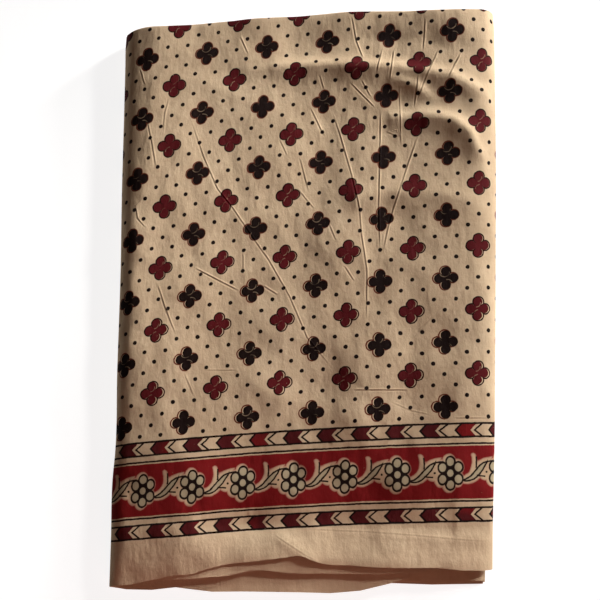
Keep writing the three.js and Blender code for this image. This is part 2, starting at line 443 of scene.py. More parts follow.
def side_x(side, y):
    """X of the packet's left or right side at a height up the packet."""
    half = LEAF_WIDTH / 2 + smooth_value(SIDE_TABLE, "y", side, y)
    return -half if side == "left" else half


def hem_y(line, x):
    """Y of a hem line at a place across the packet."""
    return -LEAF_LENGTH / 2 - smooth_value(HEM_TABLE, "x", line, x)


def doubled_y(x):
    """Y of the top leaf's doubled edge."""
    out = smooth_value(DOUBLED_EDGE_TABLE, "x", "out", x)
    return LEAF_LENGTH / 2 + out - LEAF_THICKNESS / 2


def level_z(level):
    """Height of the middle of a leaf."""
    return LEAF_THICKNESS / 2 + (LEAF_COUNT - level) * LEAF_PITCH


def fold_centre_x(fold, side):
    """X of the middle of a fold's rounding, from the packet's side there."""
    inward = 1 if fold["side"] == "left" else -1
    return side + inward * (fold["inset"] + LEAF_THICKNESS / 2 + fold["reach"])


def distance_to_line(x, y, line):
    """Signed distance from a line of several points, and how far along it the nearest place is."""
    best = np.full(x.shape, np.inf)
    side = np.zeros(x.shape)
    share = np.zeros(x.shape)
    lengths = [math.dist(a, b) for a, b in zip(line, line[1:])]
    passed = 0.0
    for (ax, ay), (bx, by), length in zip(line, line[1:], lengths):
        dx, dy = (bx - ax) / length, (by - ay) / length
        along = np.clip((x - ax) * dx + (y - ay) * dy, 0, length)
        distance = np.hypot(x - ax - along * dx, y - ay - along * dy)
        nearer = distance < best
        across = (x - ax) * dy - (y - ay) * dx
        best = np.where(nearer, distance, best)
        side = np.where(nearer, np.sign(across) * distance, side)
        share = np.where(nearer, (passed + along) / sum(lengths), share)
        passed += length
    return side, share


class Packet:
    """The cloth's grid: stations along the folded section by stations along a ply."""

    def __init__(self):
        self.build_ply_stations()
        self.build_sections()

    def build_ply_stations(self):
        """Up the outer ply from its hem, round the doubled edge, and down the inner ply."""
        up = np.linspace(0, 1, PLY_SPANS + 1)
        down = np.linspace(1, HIDDEN_HEM_SHARE, HIDDEN_PLY_SPANS + 1)
        down = np.concatenate([down, np.linspace(HIDDEN_HEM_SHARE, 0, HIDDEN_HEM_SPANS + 1)[1:]])
        turns = np.linspace(0, math.pi, DOUBLING_SPANS + 1)[1:-1]
        self.row = np.concatenate([up, np.ones(len(turns)), down])
        self.turn = np.concatenate([np.zeros(len(up)), turns, np.full(len(down), math.pi)])
        self.front_rows = len(up)
        nominal_y = -LEAF_LENGTH / 2 + self.row * (LEAF_LENGTH + MEAN_DOUBLED_OUT)
        self.sides = {side: side_x(side, nominal_y) for side in ("left", "right")}

    def build_sections(self):
        """Middle surface of the leaves: x, z, normal and leaf of each station, for every row."""
        stations = []
        order = [FOLD_TABLE[0]["from"]] + [fold["to"] for fold in FOLD_TABLE]
        for i, level in enumerate(order):
            before = FOLD_TABLE[i - 1] if i else None
            after = FOLD_TABLE[i] if i < len(FOLD_TABLE) else None
            cut_end = self.sides["right"] - CUT_END_INSET.get(level, 0)
            start = fold_centre_x(before, self.sides[before["side"]]) if before else cut_end
            end = fold_centre_x(after, self.sides[after["side"]]) if after else cut_end
            heading = -1.0 if after and after["side"] == "left" else 1.0
            spans = LEAF_TABLE[level]["spans"]
            if level == TOP_LEVEL:
                self.top_first = len(stations)
                self.top_last = self.top_first + spans
            for k in range(spans + 1):
                x = start + (end - start) * k / spans
                stations.append((x, level_z(level), 0.0, heading, level, level, 0.0))
            if after:
                stations += self.fold_stations(after)
        self.section_x = np.array([s[0] for s in stations])
        columns = np.array([s[1:] for s in stations])
        self.section_z, self.normal_x, self.normal_z = columns[:, 0:3].T[:, :, None]
        self.level_from, self.level_to = columns[:, 3:5].T.astype(int)
        self.level_share = columns[:, 5:6]

    def fold_stations(self, fold):
        """Stations round one fold, from its leaf before to its leaf after."""
        centre = fold_centre_x(fold, self.sides[fold["side"]])
        inward = 1 if fold["side"] == "left" else -1
        low, high = level_z(fold["from"]), level_z(fold["to"])
        half, upward = abs(high - low) / 2, math.copysign(1, high - low)
        stations = []
        for k in range(1, fold["spans"]):
            turn = math.pi * k / fold["spans"]
            nx = -upward * half * math.sin(turn)
            nz = -inward * fold["reach"] * math.cos(turn)
            length = math.hypot(nx, nz)
            x = centre - inward * fold["reach"] * math.sin(turn)
            z = (low + high) / 2 - upward * half * math.cos(turn)
            share = k / fold["spans"]
            stations.append((x, z, nx / length, nz / length, fold["from"], fold["to"], share))
        return stations

    def leaf_value(self, reader):
        """A value of each station, blended across folds from the leaf before to the leaf after."""
        values = {level: reader(level) for level in LEAF_TABLE}
        before = np.array([values[level][i] for i, level in enumerate(self.level_from)])
        after = np.array([values[level][i] for i, level in enumerate(self.level_to)])
        return before + (after - before) * self.level_share

    def surface(self, skin):
        """Points at a distance from the leaves' middle surface, with the top's relief."""
        x = self.section_x
        front = self.turn < math.pi / 2

        def hems(level):
            leaf = LEAF_TABLE[level]
            outer = hem_y(leaf["outer"], x) + leaf["outer_short"]
            inner = hem_y(leaf["inner"], x) + leaf["inner_short"]
            return np.where(front, outer, inner)

        hem = self.leaf_value(hems)
        tuck = self.leaf_value(lambda level: np.full(x.shape, float(LEAF_TABLE[level]["tuck"])))
        y = hem + (doubled_y(x) - tuck - hem) * self.row
        points = np.empty(x.shape + (3,))
        points[..., 0] = x + skin * np.cos(self.turn) * self.normal_x
        points[..., 1] = y + skin * np.sin(self.turn)
        points[..., 2] = self.section_z + skin * np.cos(self.turn) * self.normal_z
        return lift(points)


def lift(points):
    """Adds the packet's crown, humps, wrinkles, creases and ripple to the points of its layers."""
    x, y, z = points[..., 0], points[..., 1], points[..., 2]
    broad = left_crest(x, y) + right_fall(x, y)
    broad += smooth_value(CROWN_ACROSS, "x", "z", x)
    broad += smooth_value(CROWN_ALONG, "y", "z", y)
    for row in HUMP_TABLE:
        across, along = (x - row["x"]) / row["across"], (y - row["y"]) / row["along"]
        broad = broad + row["height"] * np.exp(-across * across - along * along)
    upper = np.zeros(x.shape)
    for wrinkle in WRINKLE_TABLE:
        side, share = distance_to_line(x, y, wrinkle["line"])
        width = np.where(side < 0, wrinkle["rise"], wrinkle["fall"])
        layers = upper if wrinkle["height"] > 0 else broad
        layers += ridge(side, share, wrinkle["height"], width)
    for crease in CREASE_TABLE:
        side, share = distance_to_line(x, y, crease["line"])
        upper += ridge(side, share, crease["height"], crease["width"])
    depth = np.clip(STACK_HEIGHT - LEAF_THICKNESS / 2 + PLY_SPACING / 2 - z, 0, None)
    upper *= np.interp(depth, column(RIDGE_SHARE, "depth"), column(RIDGE_SHARE, "share"))
    lifted = points.copy()
    lifted[..., 2] = z * (1 + broad / STACK_HEIGHT) + upper
    lifted[..., 2] += ripple(x, y) * np.exp(-depth / RIPPLE_DEPTH)
    return lifted


def left_crest(x, y):
    """Height of the crest over the left fold: round to the side, a long slope to the middle."""
    crest = smooth_value(CREST_TABLE, "y", "x", y)
    height = CREST_HEIGHT * smooth_value(CREST_TABLE, "y", "share", y)
    outer = 1 - np.clip((crest - x) / (crest - CREST_SIDE), 0, 1) ** 2
    inner = np.hypot(np.clip(x - crest, 0, None), CREST_ROUND) - CREST_ROUND
    return height * outer * np.exp(-inner / CREST_RUN)


def right_fall(x, y):
    """How far the top falls from its right shoulder to the side."""
    shoulder = smooth_value(SHOULDER_TABLE, "y", "x", y)
    share = np.clip((x - shoulder) / (SHOULDER_SIDE - shoulder), 0, 1)
    return -SHOULDER_FALL * share**SHOULDER_POWER


def ridge(side, share, height, width):
    """Height of a soft ridge at a distance from its line, lower towards the line's ends."""
    taper = RIDGE_END + (1 - RIDGE_END) * np.sqrt(np.clip(4 * share * (1 - share), 0, 1))
    return height * taper * np.exp(-(np.abs(side / width) ** RIDGE_POWER))


def ripple(x, y):
    """Height of many small waves, each of its own length, heading and phase."""
    chance = np.random.default_rng(RIPPLE_SEED)
    total = np.zeros(x.shape)
    for _ in range(RIPPLE_COUNT):
        length = chance.uniform(*RIPPLE_LENGTHS)
        heading = chance.uniform(-RIPPLE_LEAN, RIPPLE_LEAN)
        heading += math.pi / 2 if chance.random() < RIPPLE_CROSS_SHARE else 0
        phase = chance.uniform(0, 2 * math.pi)
        along = x * math.cos(heading) + y * math.sin(heading)
        total += RIPPLE_STEEPNESS * length * np.sin(2 * math.pi * along / length + phase)
    return total


def print_place(x, y):
    """Where a point of the top leaf lies in the print, along the cloth and over its width."""
    x, y = x / PRINT_HALF_WIDTH, y / PRINT_HALF_LENGTH

    def lay(row):
        bend = row["xx"] * x**2 + row["xy"] * x * y + row["yy"] * y**2
        return row["middle"] + row["x"] * x + row["y"] * y + bend

    return lay(PRINT_LAY["along"]), lay(PRINT_LAY["over"])


def print_coordinates(packet, points):
    """The printed cloth's own coordinates at every point, continued round each fold."""
    first, last, front = packet.top_first, packet.top_last, packet.front_rows
    along, over = print_place(points[..., 0], points[..., 1])
    steps = np.diff(points, axis=0)
    lengths = np.hypot(steps[..., 0], steps[..., 2])
    run = np.concatenate([np.zeros((1, points.shape[1])), np.cumsum(lengths, axis=0)])
    along[:first] = along[first] - (run[first] - run[:first])
    along[last + 1 :] = along[last] + (run[last + 1 :] - run[last])
    over[:first] = over[first]
    over[last + 1 :] = over[last]
    rows = np.diff(points, axis=1)
    climb = np.cumsum(np.hypot(rows[..., 1], rows[..., 2]), axis=1)
    edge = front - 1
    over[:, front:] = over[:, edge : edge + 1] + (climb[:, edge:] - climb[:, edge - 1 : edge])
    along[:, front:] = along[:, edge : edge + 1]
    return along, over


def crease_marks(points, creases):
    """Signed distance to the nearest of some pressed lines, and how hard it is pressed there."""
    x, y = points[..., 0], points[..., 1]
    nearest = np.full(x.shape, np.inf)
    signed = np.zeros(x.shape)
    bite = np.zeros(x.shape)
    for crease in creases:
        side, share = distance_to_line(x, y, crease["line"])
        ends = np.clip(np.minimum(share, 1 - share) / CREASE_END_SHARE, 0, 1)
        nearer = np.abs(side) < nearest
        nearest = np.where(nearer, np.abs(side), nearest)
        signed = np.where(nearer, side, signed)
        bite = np.where(nearer, crease["bite"] * ends, bite)
    fade = np.clip((CREASE_REACH - nearest) / CREASE_FADE, 0, 1)
    return np.clip(signed, -CREASE_SIDE_LIMIT, CREASE_SIDE_LIMIT), bite * fade


def grid_faces(sections, plies):
    """Faces of a closed skin, and how many of them come first as its outside.

    After the outside grid come the inside grid and the rim that joins them.
    """

    def index(side, i, j):
        return (side * sections + i) * plies + j

    i, j = np.meshgrid(np.arange(sections - 1), np.arange(plies - 1), indexing="ij")
    i, j = i.ravel(), j.ravel()
    outside = (index(0, i, j), index(0, i + 1, j), index(0, i + 1, j + 1), index(0, i, j + 1))
    inside = (index(1, i, j), index(1, i, j + 1), index(1, i + 1, j + 1), index(1, i + 1, j))
    a = np.arange(sections - 1)
    b = np.arange(plies - 1)
    s, p = sections - 1, plies - 1
    o, q = np.zeros_like(a), np.zeros_like(b)
    rim = [
        (index(0, a + 1, o), index(0, a, o), index(1, a, o), index(1, a + 1, o)),
        (index(0, a, p), index(0, a + 1, p), index(1, a + 1, p), index(1, a, p)),
        (index(0, q, b), index(0, q, b + 1), index(1, q, b + 1), index(1, q, b)),
        (index(0, s, b + 1), index(0, s, b), index(1, s, b), index(1, s, b + 1)),
    ]
    faces = [np.stack(corners, 1) for corners in (outside, inside, *rim)]
    return np.concatenate(faces), len(faces[0])


def write_print_map(mesh, packet):
    """The print's own coordinates, in metres of cloth, as the mesh's UV map."""
    along, over = print_coordinates(packet, packet.surface(PLY_SPACING / 2))
    place = np.stack([along.ravel(), over.ravel()], 1) * MM
    place = np.concatenate([place, place])
    corner = np.empty(len(mesh.loops), dtype=np.int32)
    mesh.loops.foreach_get("vertex_index", corner)
    print_map = mesh.uv_layers.new(name="Print")
    print_map.data.foreach_set("uv", place[corner].astype(np.float32).ravel())


def write_crease_marks(mesh, points):
    """The distance to the nearest crease and its bite, for each group of creases."""
    for group in CREASE_GROUPS:
        creases = [crease for crease in CREASE_TABLE if crease["group"] == group]
        side, bite = crease_marks(points, creases)
        for name, values in (("crease_side_", side), ("crease_bite_", bite)):
            attribute = mesh.attributes.new(name + group, "FLOAT", "POINT")
            values = np.concatenate([values.ravel(), values.ravel()])
            attribute.data.foreach_set("value", values.astype(np.float32))


def make_cloth():
    """The whole cloth as one mesh, with the print's coordinates and the crease marks."""
    packet = Packet()
    outer = packet.surface(PLY_SPACING / 2 + PLY_THICKNESS / 2)
    inner = packet.surface(PLY_SPACING / 2 - PLY_THICKNESS / 2)
    faces, outside_count = grid_faces(*outer.shape[:2])
    vertices = np.concatenate([outer.reshape(-1, 3), inner.reshape(-1, 3)]) * MM
    mesh = bpy.data.meshes.new("kalamkari_cloth")
    mesh.from_pydata(vertices.tolist(), [], faces.tolist())
    write_print_map(mesh, packet)
    write_crease_marks(mesh, outer)

    material = np.ones(len(mesh.polygons), dtype=np.int32)
    material[:outside_count] = 0
    mesh.polygons.foreach_set("material_index", material)
    mesh.polygons.foreach_set("use_smooth", np.ones(len(mesh.polygons), dtype=bool))
    mesh.update()
    mesh.set_sharp_from_angle(angle=math.radians(SHARP_ANGLE))
    cloth = bpy.data.objects.new("kalamkari_cloth", mesh)
    bpy.context.scene.collection.objects.link(cloth)
    return cloth


class Field:
    """A number that varies over the cloth, worked out by shader nodes."""

    def __init__(self, tree, socket):
        self.tree = tree
        self.socket = socket

    def math(self, operation, *others, clamp=False):
        node = self.tree.nodes.new("ShaderNodeMath")
        node.operation = operation
        node.use_clamp = clamp
        for socket, value in zip(node.inputs, (self, *others)):
            if isinstance(value, Field):
                self.tree.links.new(value.socket, socket)
            else:
                socket.default_value = value
        return Field(self.tree, node.outputs[0])

    def __add__(self, other):
        return self.math("ADD", other)

    def __sub__(self, other):
        return self.math("SUBTRACT", other)

    def __mul__(self, other):
        return self.math("MULTIPLY", other)

    def __truediv__(self, other):
        return self.math("DIVIDE", other)

    def __abs__(self):
        return self.math("ABSOLUTE")

    def fraction(self):
        return self.math("FRACT")

    def least(self, other):
        return self.math("MINIMUM", other)

    def most(self, other):
        return self.math("MAXIMUM", other)

    def blend(self, other, distance):
        """The least of two distances, rounded where they meet."""
        return self.math("SMOOTH_MIN", other, distance)

    def hypot(self, other):
        return (self * self).math("MULTIPLY_ADD", 1.0, other * other).math("SQRT")

    def slant(self):
        """The share of a step up that is square to a slope."""
        return (self * self + 1.0).math("INVERSE_SQRT")

    def ramp(self, gain, start):
        """This number times a gain, from a start, held between 0 and 1."""
        return self.math("MULTIPLY_ADD", gain, start, clamp=True)

    def inside(self, soft=0.4):
        """1 where a distance is below nought, 0 beyond, with a soft edge."""
        return self.ramp(-1.0 / soft, 0.5)


class Paint:
    """A colour that varies over the cloth."""

    def __init__(self, tree, socket):
        self.tree = tree
        self.socket = socket

    def over(self, mask, colour):
        """This colour with another laid over it where the mask is 1."""
        node = self.tree.nodes.new("ShaderNodeMix")
        node.data_type = "RGBA"
        factor, first, second = node.inputs[0], node.inputs[6], node.inputs[7]
        self.tree.links.new(mask.socket, factor)
        self.tree.links.new(self.socket, first)
        if isinstance(colour, Paint):
            self.tree.links.new(colour.socket, second)
        else:
            second.default_value = (*colour, 1)
        return Paint(self.tree, node.outputs[2])


def plain_paint(tree, colour):
    """One colour all over, to lay others on."""
    node = tree.nodes.new("ShaderNodeRGB")
    node.outputs[0].default_value = (*colour, 1)
    return Paint(tree, node.outputs[0])


def set_inputs(node, values):
    """Sets inputs of a shader node by their names."""
    for name, value in values.items():
        node.inputs[name].default_value = value


def noise(tree, vector, scale, detail, roughness=0.5, stretch=(1, 1, 1)):
    """Noise from 0 to 1 over the cloth. The scale is in features per metre."""
    mapping = tree.nodes.new("ShaderNodeMapping")
    set_inputs(mapping, {"Scale": stretch})
    tree.links.new(vector, mapping.inputs["Vector"])
    node = tree.nodes.new("ShaderNodeTexNoise")
    set_inputs(node, {"Scale": scale, "Detail": detail, "Roughness": roughness})
    tree.links.new(mapping.outputs[0], node.inputs["Vector"])
    return Field(tree, node.outputs["Fac"])


# Dyes and ground of the cloth, as linear colours
GROUND_PALE = (0.56, 0.43, 0.29)
GROUND_DEEP = (0.42, 0.305, 0.195)
BLACK_DYE = (0.008, 0.0035, 0.003)
RUST_DYE = (0.11, 0.024, 0.012)
CRIMSON_DYE = (0.072, 0.006, 0.0078)
BROWN_DYE = (0.016, 0.004, 0.003)
BAND_DYE = (0.15, 0.0072, 0.008)
MAROON_DYE = (0.062, 0.007, 0.008)
LEAF_DYE = (0.34, 0.285, 0.185)
HALO_DYE = (0.44, 0.315, 0.20)
HALO_RIM_DYE = (0.34, 0.155, 0.11)

# Unevenness of the ground, the dyes and the printing, as noise with so many features per metre
BROAD_MOTTLE = {"scale": 16, "detail": 3}
BROAD_SHARE = 0.7
PATCHES = {"scale": 70, "detail": 4, "roughness": 0.6}
PATCH_SHARE = 0.6
THREADS = {"scale": 420, "detail": 2, "roughness": 0.6}
THREAD_SHARE = 0.22
THREAD_STRETCH = 0.12
FADE = {"scale": 75, "detail": 1}
FADE_STRENGTH = 0.5
CHEVRON_DYE = {"scale": 26, "detail": 1}
WORN_INK = {"scale": 230, "detail": 4, "roughness": 0.7}
WANDER = {"scale": 90, "detail": 2}
TREMBLE = {"scale": 420, "detail": 1}
TREMBLE_SHARE = 0.5

# How such noise becomes a mask: its gain, and where the mask starts
GROUND_RAMP = (1.4, -0.63)
FADE_RAMP = (4.0, -1.7)
CHEVRON_RAMP = (6.0, -3.3)
WORN_RAMP = (5.0, -0.6)

# Soft edges of the halo, the parting arcs and the print's areas, and how far the field runs on
# under the border, in millimetres
HALO_RIM_SOFT = 0.7
HALO_SOFT = 1.2
PARTING_SOFT = 0.6
AREA_SOFT = 0.2
FIELD_OVERLAP = 1.0

# The cotton's finish
FINISH = {
    "Roughness": 0.85,
    "Specular IOR Level": 0.06,
    "Sheen Weight": 0.01,
    "Sheen Roughness": 0.5,
    "Sheen Tint": (1.0, 0.9, 0.78, 1),
}
WANDER_ALONG = 1.3
WANDER_OVER = 1.1

# A pressed crease's lit and shaded lips, the crumple and the weave, in millimetres of height
CREASE_LIP = 0.7
CREASE_SHARPNESS = 1.3
CREASE_LEE_SHARE = 0.8
CREASE_LIFT = 0.36
CRUMPLE_TABLE = [
    {
        "noise": {"scale": 55, "detail": 4, "roughness": 0.55, "stretch": (1, 0.6, 1)},
        "height": 1.6,
    },
    {
        "noise": {"scale": 150, "detail": 3, "roughness": 0.6, "stretch": (1, 0.4, 1)},
        "height": 0.45,
    },
]
WARP_PITCH = 0.85
WEFT_PITCH = 0.95
WEAVE_HEIGHT = 0.02
SLUBS = {"scale": 800, "detail": 2, "roughness": 0.6}
SLUB_STRETCH = 0.2
SLUB_HEIGHT = 0.035


def oval(x, y, half_wide, half_high):
    """Distance, near enough, from an upright oval's outline."""
    return ((x / half_wide).hypot(y / half_high) - 1.0) * min(half_wide, half_high)


def quatrefoil(x, y, radius):
    """Distance from the outline of four round petals that meet in the centre."""
    ax, ay = abs(x), abs(y)
    longer, shorter = ax.most(ay), ax.least(ay)
    return ((longer - PETAL_REACH).hypot(shorter) - radius).least(longer - HEART_HALF)


def crossed_noise(tree, vector, row, stretch):
    """Noise drawn out along the cloth, and the same drawn out over it."""
    drawn_along = noise(tree, vector, stretch=(1, stretch, 1), **row)
    return drawn_along + noise(tree, vector, stretch=(stretch, 1, 1), **row)


def plain_ground(tree, vector):
    """Unbleached cotton, mottled and a little soiled."""
    broad = noise(tree, vector, **BROAD_MOTTLE)
    patches = noise(tree, vector, **PATCHES)
    threads = crossed_noise(tree, vector, THREADS, THREAD_STRETCH)
    shade = broad * BROAD_SHARE + patches * PATCH_SHARE + threads * THREAD_SHARE
    return plain_paint(tree, GROUND_PALE).over(shade.ramp(*GROUND_RAMP), GROUND_DEEP)


def print_dots(u, v):
    """Distance from the dots that run in threes between the flowers."""
    a, b = u / MOTIF_PITCH, (v - FIRST_MOTIF[1]) / MOTIF_PITCH
    side = MOTIF_PITCH / math.sqrt(2)

    def row(across, along):
        near = abs((along * DOTS_PER_SIDE).fraction() - 0.5) * (side / DOTS_PER_SIDE)
        return (abs(across.fraction() - 0.5) * side).hypot(near)

    return row(a + b, a - b).least(row(a - b, a + b)) - DOT_RADIUS


def parting_arc(x, y, way):
    """Distance from the pale arc between petals, above the middle for 1 and below it for -1."""
    arc = abs(x.hypot(y - PARTING_CENTRE * way) - PARTING_RADIUS) - PARTING_HALF
    return arc.most(y * way - PARTING_END)


def print_flower(tree, picture, x, y, slip, dyes, ring_on_top, vector):
    """A four-petalled flower. Its fill is printed a little to one side of its ring."""
    fill_dye, ring_dye = dyes
    ring = abs(quatrefoil(x, y, PETAL_RADIUS)) - RING_HALF
    x, y = x - slip, y + slip * SLIP_RISE
    fill = quatrefoil(x, y, FILL_RADIUS)
    turned_x, turned_y = x + y * PARTING_LEAN, y - x * PARTING_LEAN
    top_arc = parting_arc(turned_x, turned_y, 1.0)
    low_arc = parting_arc(turned_x, turned_y, -1.0)
    if ring_on_top:
        top_arc = top_arc.most(turned_x * -1.0 - PARTING_OVERLAP)
        parting = top_arc.least(low_arc.most(turned_x - PARTING_OVERLAP))
    else:
        parting = top_arc.least(low_arc.most(turned_x * -1.0))
        picture = picture.over(ring.inside(), ring_dye)
    faded = noise(tree, vector, **FADE).ramp(*FADE_RAMP) * FADE_STRENGTH
    picture = picture.over(fill.inside(), fill_dye)
    picture = picture.over(parting.inside(PARTING_SOFT) * faded, HALO_DYE)
    return picture.over(ring.inside(), ring_dye) if ring_on_top else picture


def print_field(tree, ground, u, v, vector):
    """The flowers and dots of the field, above the border."""

    def cell(value, start):
        return (((value - start) / MOTIF_PITCH + 0.5).fraction() - 0.5) * MOTIF_PITCH

    half = MOTIF_PITCH / 2
    picture = ground.over(print_dots(u, v).inside(), BLACK_DYE)
    slip = ((v - SLIP_START) * -SLIP_RATE + SLIP_MOST).least(SLIP_MOST).most(SLIP_LEAST)
    dark_x, dark_y = cell(u, FIRST_MOTIF[0]), cell(v, FIRST_MOTIF[1])
    dark, red = (BLACK_DYE, RUST_DYE), (CRIMSON_DYE, BROWN_DYE)
    picture = print_flower(tree, picture, dark_x, dark_y, slip, dark, False, vector)
    red_x, red_y = cell(u, FIRST_MOTIF[0] + half), cell(v, FIRST_MOTIF[1] + half)
    return print_flower(tree, picture, red_x, red_y, slip * -1.0, red, True, vector)


def print_chevrons(tree, ground, u, strip, vector):
    """Pale and red arrows in turn, which point against the cloth's run."""

    def place(slope):
        """How far along a repeat a point is, where repeats slant away from the strip's middle."""
        return ((u - CHEVRON_START - strip * slope) / CHEVRON_PITCH).fraction() * CHEVRON_PITCH

    tip, notch = place(CHEVRON_TIP_SLOPE), place(CHEVRON_NOTCH_SLOPE)
    red = noise(tree, vector, **CHEVRON_DYE).ramp(*CHEVRON_RAMP)
    dyed = plain_paint(tree, MAROON_DYE).over(red, BAND_DYE)
    arrows = ground.over((abs(notch - ARROW_MIDDLE) - ARROW_HALF).inside(), dyed)
    thin = (abs(tip) - TIP_LINE_HALF).least(abs(tip - CHEVRON_PITCH) - TIP_LINE_HALF)
    thin = thin.least(abs(notch - NOTCH_LINE_MIDDLE) - NOTCH_LINE_HALF)
    return arrows.over(thin.inside(), BLACK_DYE)


def vine_cells(x, y):
    """Distance from the seven cells of the vine's flower."""
    middle, above, beside = [
        oval(abs(x) - row["x"], abs(y) - row["y"], row["half_wide"], row["half_high"])
        for row in CELL_TABLE
    ]
    return middle.least(above).least(beside)


def vine_leaf(x, y):
    """Distances from the leaf's upper edge, which swings up, and from its lower one, which bows."""
    swing = ((x - SWING["x"]) / SWING["run"]).math("TANH")
    steep = (swing * swing * -1.0 + 1.0) * (SWING["height"] / SWING["run"])
    upper = (y - swing * SWING["height"] - SWING["y"]) * steep.slant()
    bow = x - BOW["x"]
    lower = (y - bow * bow * BOW["bend"] - BOW["y"]) * (bow * (2 * BOW["bend"])).slant()
    return upper, lower


def stroke(line, along, name):
    """Distance from a stroke of ink on a line, ended along it."""
    row = STROKE_TABLE[name]
    return (abs(line) - row["ink"]).most(abs(along - row["middle"]) - row["half"])


def vine_ink(x, y, upper, lower, lean):
    """Distance from the leaf's black strokes, its dot and the tendril that stands on it."""
    branch = stroke(y + x * BRANCH["fall"] - BRANCH["y"], x, "branch")
    tendril = stroke(x - TENDRIL["x"] + lean * 0.5, y, "tendril")
    dot = (x - VINE_DOT["x"]).hypot(y - VINE_DOT["y"]) - VINE_DOT["radius"]
    ink = stroke(upper, x, "upper").least(stroke(lower, x, "lower"))
    return ink.least(branch).least(dot).least(tendril)


def vine_halo(x, y, flower_x, upper, lower, lean, cells):
    """Distance from the edge of the pale halo round the flower, its leaf and the tendril."""
    horn_x = x - HALO_HORN["x"] + lean
    horn_y = (abs(y - HALO_HORN["y"]) - HALO_HORN["half"]).most(0.0)
    horn = horn_y.hypot(horn_x) - HALO_HORN["radius"]
    leaf = (upper - HALO_ABOVE_LEAF).most(lower * -1.0 - HALO_BELOW_LEAF).most(x - HALO_LEAF_END)
    corner = (x - HALO_CORNER["x"]).hypot(y - HALO_CORNER["y"]) - HALO_CORNER["radius"]
    flower = (vine_cells(flower_x + HALO_SHIFT, y) - HALO_WIDTH).least(cells - HALO_SHIFT)
    return flower.least(horn.blend(leaf, HALO_BLEND)).least(corner)


def print_border(tree, ground, u, v, vector):
    """The border: a red band with a vine between two strips of chevrons."""
    off = abs(v - BORDER_MIDDLE)
    strip = abs(off - STRIP_OFFSET)
    chevrons = print_chevrons(tree, ground, u, strip, vector)
    picture = ground.over((strip - STRIP_HALF).inside(), chevrons)

    # Places from the flower's own middle, and from the flower that the vine's leaf reaches
    y = v - BORDER_MIDDLE + VINE_DROP
    run = (u - VINE_START) / VINE_PITCH
    flower_x = (run + 0.5).fraction() * VINE_PITCH - VINE_PITCH / 2
    x = (run + VINE_REACH / VINE_PITCH).fraction() * VINE_PITCH - VINE_REACH
    lean = (y - TENDRIL["lean_from"]) * (y - TENDRIL["lean_from"]) * TENDRIL["lean"]

    cells = vine_cells(flower_x, y)
    upper, lower = vine_leaf(x, y)
    halo = vine_halo(x, y, flower_x, upper, lower, lean, cells)
    band = off - BAND_HALF
    picture = picture.over(band.inside(), BAND_DYE)
    picture = picture.over(halo.most(band).inside(HALO_RIM_SOFT), HALO_RIM_DYE)
    picture = picture.over((halo + HALO_RIM).most(band).inside(HALO_SOFT), HALO_DYE)
    picture = picture.over((flower_x.hypot(y) - FLOWER_HEART).inside(), BLACK_DYE)
    leaf = upper.most(lower * -1.0).most(x - LEAF_TIP)
    picture = picture.over(leaf.least(cells).inside(), LEAF_DYE)
    ink = (abs(cells) - CELL_INK).least(vine_ink(x, y, upper, lower, lean))
    for rule in RULE_TABLE:
        ink = ink.least(abs(off - rule["offset"]) - rule["half"])
    return picture.over(ink.inside(), BLACK_DYE)


def cotton_material(name, ink):
    """Printed cotton. The ink is 1 on the printed face, and less where it only shows through."""
    material = bpy.data.materials.new(name)
    material.use_nodes = True
    tree = material.node_tree
    shader = tree.nodes["Principled BSDF"]
    place = tree.nodes.new("ShaderNodeUVMap")
    place.uv_map = "Print"
    split = tree.nodes.new("ShaderNodeSeparateXYZ")
    tree.links.new(place.outputs[0], split.inputs[0])
    cloth_place = place.outputs[0]
    tremble = noise(tree, cloth_place, **TREMBLE) * TREMBLE_SHARE
    wander = noise(tree, cloth_place, **WANDER) + tremble - (1 + TREMBLE_SHARE) / 2
    u = Field(tree, split.outputs[0]) / MM + wander * WANDER_ALONG
    v = Field(tree, split.outputs[1]) / MM - wander * WANDER_OVER

    ground = plain_ground(tree, cloth_place)
    field = print_field(tree, ground, u, v, cloth_place)
    border = print_border(tree, ground, u, v, cloth_place)
    field_start = BORDER_MIDDLE + BORDER_HALF - FIELD_OVERLAP
    above_border = (v * -1.0 + field_start).most(v - FIELD_END).inside(AREA_SOFT)
    in_border = (abs(v - BORDER_MIDDLE) - BORDER_HALF).inside(AREA_SOFT)
    picture = ground.over(above_border, field).over(in_border, border)

    worn = noise(tree, cloth_place, **WORN_INK).ramp(*WORN_RAMP)
    colour = ground.over(worn * ink, picture)
    tree.links.new(colour.socket, shader.inputs["Base Color"])

    set_inputs(shader, FINISH)
    tree.links.new(crease_and_weave(tree, cloth_place, u, v), shader.inputs["Normal"])
    return material


def crease_and_weave(tree, vector, u, v):
    """Normal with the pressed crease lines, the crumple and the plain weave."""

    def mark(name):
        node = tree.nodes.new("ShaderNodeAttribute")
        node.attribute_name = name
        return Field(tree, node.outputs["Fac"])

    def lip(distance):
        return (distance * distance * -CREASE_SHARPNESS).math("EXPONENT")

    warp = (u * (2 * math.pi / WARP_PITCH)).math("SINE")
    weft = (v * (2 * math.pi / WEFT_PITCH)).math("SINE")
    slubs = crossed_noise(tree, vector, SLUBS, SLUB_STRETCH)
    height = warp * weft * WEAVE_HEIGHT + slubs * SLUB_HEIGHT
    for row in CRUMPLE_TABLE:
        height = height + noise(tree, vector, **row["noise"]) * row["height"]
    for group in CREASE_GROUPS:
        side, bite = mark("crease_side_" + group), mark("crease_bite_" + group)
        lips = lip(side + CREASE_LIP) - lip(side - CREASE_LIP) * CREASE_LEE_SHARE
        height = height + lips * bite * CREASE_LIFT
    bump = tree.nodes.new("ShaderNodeBump")
    set_inputs(bump, {"Distance": MM, "Strength": 1.0})
    tree.links.new(height.socket, bump.inputs["Height"])
    return bump.outputs[0]


